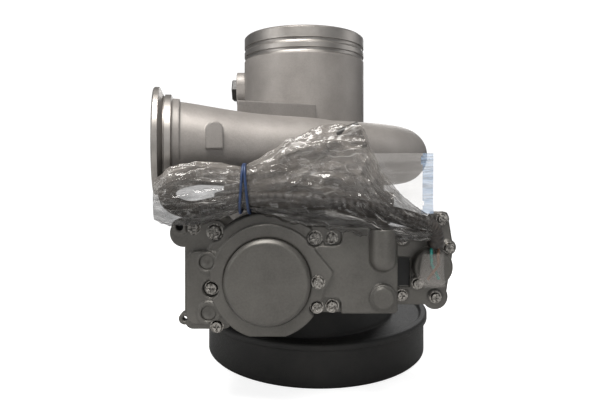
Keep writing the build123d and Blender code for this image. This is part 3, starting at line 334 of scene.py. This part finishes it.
SLOT_MATERIALS = {
    "cast_aluminium": CAST_ALUMINIUM,
    "die_cast": DIE_CAST,
    "machined_aluminium": MACHINED,
    "cast_iron": BLACK_IRON,
    "zinc": ZINC,
    "steel": STEEL,
    "brass": BRASS,
    "copper": COPPER,
    "rubber": RUBBER,
    "black_plastic": BLACK_PLASTIC,
    "board": BOARD,
    "clear_film": BAG_FILM,
    "blue_plastic": BLUE,
    "wire": TEAL,
}


def dress_nodes():
    """Gives each CAD node the material of its slot."""
    slots = {s["node"]: s["material_slot"] for s in frame["record"]["subparts"]}
    for name, node in frame["nodes"].items():
        node.data.materials.clear()
        node.data.materials.append(SLOT_MATERIALS[slots[name]])


def paint_faces(name, extra, chosen):
    """Gives the faces of a CAD node that chosen(centre in mm, normal) picks a second material."""
    mesh = frame["nodes"][name].data
    mesh.materials.append(extra)
    index = len(mesh.materials) - 1
    for face in mesh.polygons:
        if chosen(face.center / MM, face.normal):
            face.material_index = index


dress_nodes()
conduit.data.materials.append(CONDUIT)

# The turned parts of the compressor housing, in mm: the outlet flange and the rim of the intake
TUBE_WAY = Vector((-0.97437, -0.22495, 0))
FLANGE_FACE = Vector((-96.71, -105.66, 166.7))
FLANGE_DEPTH = 11.5
RIM_FOOT = 234
RIM_INNER_R = 44


def is_turned(centre, _):
    """Whether a face of the compressor housing is on the outlet flange or the intake's rim."""
    on_rim = centre.z > RIM_FOOT and Vector((centre.x, centre.y)).length > RIM_INNER_R
    return on_rim or (centre - FLANGE_FACE).dot(TUBE_WAY) > -FLANGE_DEPTH


def is_brown_wire(centre, _):
    """Whether a face is on the terminal's right-hand wire, which passes in front lower down."""
    return centre.x > 77.9 if centre.z > 91.5 else centre.y < -125.5


def is_painted_shade_recess(centre, normal):
    """Whether a face is the floor of the side bracket's recess, which gets black rubber as painted shade
    for the shadow in the recess.
    """
    inside = 54 < centre.x < 65 and 76 < centre.z < 94 and -113.8 < centre.y < -111
    return inside and normal.y < -0.5


paint_faces("compressor_housing", MACHINED, is_turned)
frame["nodes"]["terminal_boot"].data.materials[0] = BOOT_FILM
paint_faces("terminal_wires", BROWN, is_brown_wire)
# Painted shade: black rubber on the floor of the side bracket's recess stands for the shadow in it
paint_faces("side_bracket", RUBBER, is_painted_shade_recess)


# ---------------------------------------------------------------- bag, flap and tie
# Bag sections along the harness, in mm: (x, middle y, half depth, low z, high z, crumple)
BAG = [
    (-86, -140.5, 3.0, 121, 143, 0.4),
    (-78, -138.8, 6.4, 118.2, 149, 1.5),
    (-62, -136.0, 7.6, 119, 153, 1.8),
    (-46, -132.8, 7.2, 122.5, 151.5, 1.2),
    (-37, -131.3, 7.0, 125.3, 150.6, 0.3),
    (-28, -130.8, 7.4, 124, 154.5, 1.0),
    (-10, -130.0, 8.2, 120, 165, 2.4),
    (10, -129.4, 9.0, 117, 172, 3.4),
    (32, -129.0, 9.2, 113, 173, 3.8),
    (44, -128.6, 8.6, 110, 147, 2.8),
    (58, -128.0, 8.0, 108, 131, 2.0),
    (73, -127.4, 7.2, 108, 121, 1.0),
]


def section_at(share):
    """The bag's section at a share of its length, eased between the listed ones."""
    spot = share * (len(BAG) - 1)
    index = min(int(spot), len(BAG) - 2)
    ease = spot - index
    ease = ease * ease * (3 - 2 * ease) * 0.5 + ease * 0.5
    return [a + (b - a) * ease for a, b in zip(BAG[index], BAG[index + 1])]


def ridge(place):
    """Sharp-crested noise from 0 to 1."""
    return (1 - min(1, abs(noise.noise(place)) * 2.2)) ** 2


def bag_point(share, turn):
    """A point on the film in metres, at a share of the bag's length and a turn round it."""
    x, middle, depth, low, high, crumple = section_at(share)
    side, up = math.cos(turn), math.sin(turn)
    square = 1 / max(abs(side) ** 2.6 + abs(up) ** 2.6, 1e-6) ** (1 / 2.6)
    y = middle + depth * side * square
    z = (low + high) / 2 + (high - low) / 2 * up * square
    folds = ridge(Vector((side * 3.2, up * 3.2, share * 4)))
    creases = ridge(Vector((x, y, z)) * 0.075) * 0.7 + ridge(Vector((x, y, z)) * 0.19) * 0.3
    out = crumple * (folds * 0.8 + creases * 0.9 - 0.15)
    return Vector((x, y + side * out, z + up * out)) * MM


def grid_mesh(name, rows, material, closed_round):
    """A smooth mesh through rows of points, with UVs in metres; closed_round joins each row's ends."""
    mesh = bpy.data.meshes.new(name)
    count = len(rows[0])
    last = count if closed_round else count - 1
    faces, spots = [], []
    along = sum((b[0] - a[0]).length for a, b in zip(rows, rows[1:])) / len(rows)
    middle = rows[len(rows) // 2]
    around = sum((b - a).length for a, b in zip(middle, middle[1:])) / count
    for i in range(len(rows) - 1):
        for j in range(last):
            k = (j + 1) % count
            faces.append((i * count + j, i * count + k, (i + 1) * count + k, (i + 1) * count + j))
            spots += [(i, j), (i, j + 1), (i + 1, j + 1), (i + 1, j)]
    mesh.from_pydata([p for row in rows for p in row], [], faces)
    layer = mesh.uv_layers.new(name="UVMap")
    layer.data.foreach_set("uv", [n for i, j in spots for n in (i * along, j * around)])
    mesh.polygons.foreach_set("use_smooth", [True] * len(mesh.polygons))
    mesh.materials.append(material)
    made = bpy.data.objects.new(name, mesh)
    bpy.context.scene.collection.objects.link(made)
    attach(made, "housing")
    return made


def make_bag():
    """The clear film bag: a crumpled sleeve, gathered at the tie and open on the right."""
    rings, spots = 230, 180
    rows = []
    for i in range(rings):
        share = i / (rings - 1)
        rows.append([bag_point(share, 2 * math.pi * j / spots) for j in range(spots)])
    closing = sum(rows[0], Vector()) / spots
    rows.insert(0, [closing.lerp(p, 0.15) for p in rows[0]])
    bag = grid_mesh("film_bag", rows, BAG_FILM, True)
    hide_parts("harness_bag")


SEAL_WIDTH = 0.0065  # metres


def make_flap():
    """The bag's loose flap: a flat clear panel with a bluish sealed edge on the right."""
    low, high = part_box("bag_flap")
    columns, lines = 90, 44
    rows = []
    for i in range(columns):
        x = low.x + (high.x - low.x) * i / (columns - 1)
        row = []
        for j in range(lines):
            z = low.z + (high.z - low.z) * j / (lines - 1)
            wave = noise.noise(Vector((x * 22, 0, z * 30))) * 0.0018
            row.append(Vector((x, (low.y + high.y) / 2 + wave, z)))
        rows.append(row)
    flap = grid_mesh("film_flap", rows, FLAP_FILM, False)
    flap.data.materials.append(SEAL_FILM)
    edge = high.x - SEAL_WIDTH
    for face in flap.data.polygons:
        wobble = noise.noise(Vector((0, 0, face.center.z * 120))) * 0.0022
        if face.center.x > edge + wobble:
            face.material_index = 1
    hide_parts("bag_flap")


def ring_tube(name, path, radius, material):
    """A round tube along a closed path of points."""
    rows = []
    for behind, here, ahead in zip(path[-1:] + path, path, path[1:] + path[:1]):
        way = (ahead - behind).normalized()
        side = way.cross(Vector((1, 0, 0))).normalized()
        other = way.cross(side)
        turns = [2 * math.pi * j / 10 for j in range(10)]
        rows.append([here + (side * math.cos(t) + other * math.sin(t)) * radius for t in turns])
    return grid_mesh(name, rows + rows[:1], material, True)


# The tie, in mm
TIE_X = -36.2
TIE_MIDDLE = (-131.3, 137.9)
TIE_HALF_SIZE = (8.6, 14.2)
TIE_STRAND_R = 0.8


def make_tie():
    """The blue tie: two strands round the gathered bag, spread apart at the bottom."""
    for k, lean in enumerate((-0.9, 1.3)):
        path = []
        for i in range(72):
            turn = 2 * math.pi * i / 72
            side, up = math.cos(turn), math.sin(turn)
            square = 1 / (abs(side) ** 3 + abs(up) ** 3) ** (1 / 3)
            x = TIE_X + lean * (1 - up) * 1.1 + k * 0.6
            y = TIE_MIDDLE[0] + TIE_HALF_SIZE[0] * side * square
            z = TIE_MIDDLE[1] + TIE_HALF_SIZE[1] * up * square
            path.append(Vector((x, y, z)) * MM)
        ring_tube(f"tie_strand_{k + 1}", path, TIE_STRAND_R * MM, BLUE)
    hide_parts("bag_tie")


make_bag()
make_flap()
make_tie()


# ---------------------------------------------------------------- light and floor
def area_light(name, place, target, size, power, colour=(1, 1, 1)):
    """A soft square light aimed at a point."""
    data = bpy.data.lights.new(name, "AREA")
    data.shape = "RECTANGLE"
    data.size, data.size_y = size
    data.energy = power
    data.color = colour
    light = bpy.data.objects.new(name, data)
    light.location = place
    light.rotation_euler = (Vector(target) - Vector(place)).to_track_quat("-Z", "Y").to_euler()
    bpy.context.scene.collection.objects.link(light)


def make_floor():
    """A pale floor that the unit stands on."""
    mesh = bpy.data.meshes.new("floor")
    half = 0.6
    corners = [(-half, -half, 0), (half, -half, 0), (half, half, 0), (-half, half, 0)]
    mesh.from_pydata(corners, [], [(0, 1, 2, 3)])
    floor = bpy.data.objects.new("floor", mesh)
    made, tree, shader = new_material("floor", (0.9, 0.9, 0.9), 0.0, 0.8)
    grain = noise_value(tree, 30, 3)
    tree.links.new(tint(tree, grain, (0.5, 0.5, 0.5), (0.56, 0.56, 0.56)), shader.inputs["Base Color"])
    shader.inputs["Emission Color"].default_value = (1, 1, 1, 1)
    ray = add_node(tree, "ShaderNodeLightPath")
    glow = spread(tree, ray.outputs["Is Camera Ray"], 0.0, 0.8, 0.0, 1.0)
    tree.links.new(glow, shader.inputs["Emission Strength"])
    mesh.materials.append(made)
    bpy.context.scene.collection.objects.link(floor)


def make_world():
    """A white backdrop for the camera, and a dimmer surrounding for light and reflections."""
    world = bpy.data.worlds.new("world")
    bpy.context.scene.world = world
    world.use_nodes = True
    tree = world.node_tree
    output = next(n for n in tree.nodes if n.type == "OUTPUT_WORLD")
    room = next(n for n in tree.nodes if n.type == "BACKGROUND")
    room.inputs["Color"].default_value = (0.8, 0.82, 0.85, 1)
    room.inputs["Strength"].default_value = 0.24
    white = add_node(tree, "ShaderNodeBackground")
    white.inputs["Color"].default_value = (1, 1, 1, 1)
    white.inputs["Strength"].default_value = 1.1
    ray = add_node(tree, "ShaderNodeLightPath")
    mix = add_node(tree, "ShaderNodeMixShader")
    tree.links.new(ray.outputs["Is Camera Ray"], mix.inputs["Fac"])
    tree.links.new(room.outputs[0], mix.inputs[1])
    tree.links.new(white.outputs[0], mix.inputs[2])
    tree.links.new(mix.outputs[0], output.inputs["Surface"])


make_floor()
make_world()
area_light("top", (-0.15, -0.45, 0.95), (0, 0, 0.15), (0.6, 0.4), 15, (1, 0.98, 0.95))
area_light("left", (-0.9, -0.6, 0.4), (0, 0, 0.14), (0.4, 0.6), 2.5)
area_light("front", (0.3, -1.2, 0.3), (0, 0, 0.12), (0.6, 0.4), 1.8)
area_light("right", (0.9, 0.0, 0.5), (0, 0, 0.15), (0.3, 0.6), 1.2)
area_light("back", (0.25, 1.1, 0.6), (0, 0, 0.13), (0.6, 0.5), 3.5)

bpy.context.scene.view_settings.view_transform = "Standard"
